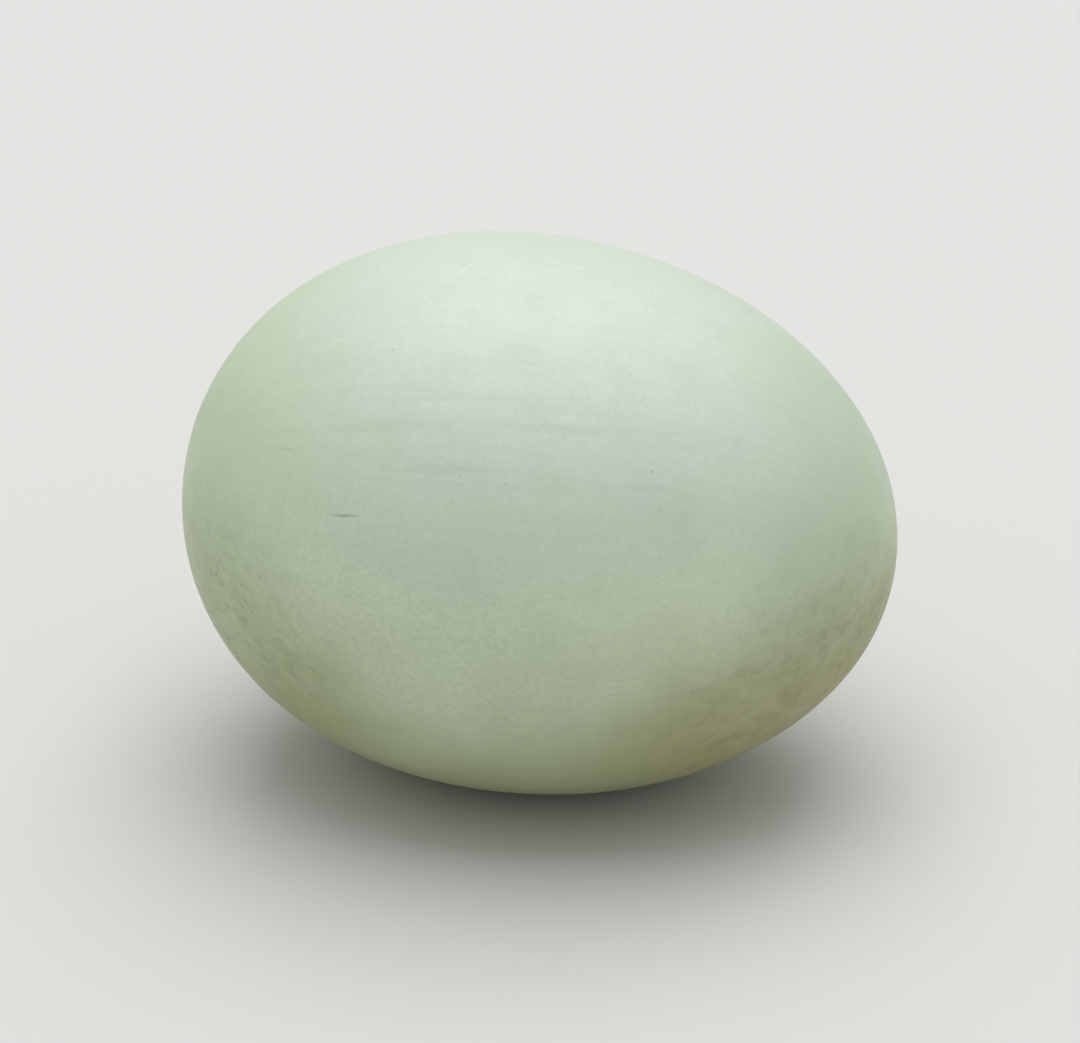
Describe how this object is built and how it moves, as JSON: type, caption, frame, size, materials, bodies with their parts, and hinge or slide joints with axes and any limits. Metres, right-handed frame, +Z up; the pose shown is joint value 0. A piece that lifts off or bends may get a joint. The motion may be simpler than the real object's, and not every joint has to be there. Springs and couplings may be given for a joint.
{
  "type": "duck egg",
  "caption": "Whole raw duck egg in its pale celadon shell, lying on its side on a small flat spot, with the pointed end dipping slightly.",
  "frame": {"origin": "bottom centre of the egg's box, on the plane that it rests on", "axes": "+Z up from that plane; +X along the egg's long axis, towards the pointed end; +Y across it, away from the pictured side"},
  "size_m": [0.06, 0.047, 0.0462],
  "materials": {
    "shell": "satin eggshell: calcite under a thin waxy bloom, pale celadon, clouded, finely pitted, a little stained low down"
  },
  "bodies": {
    "root": {"egg": "shell"}
  },
  "joints": []
}
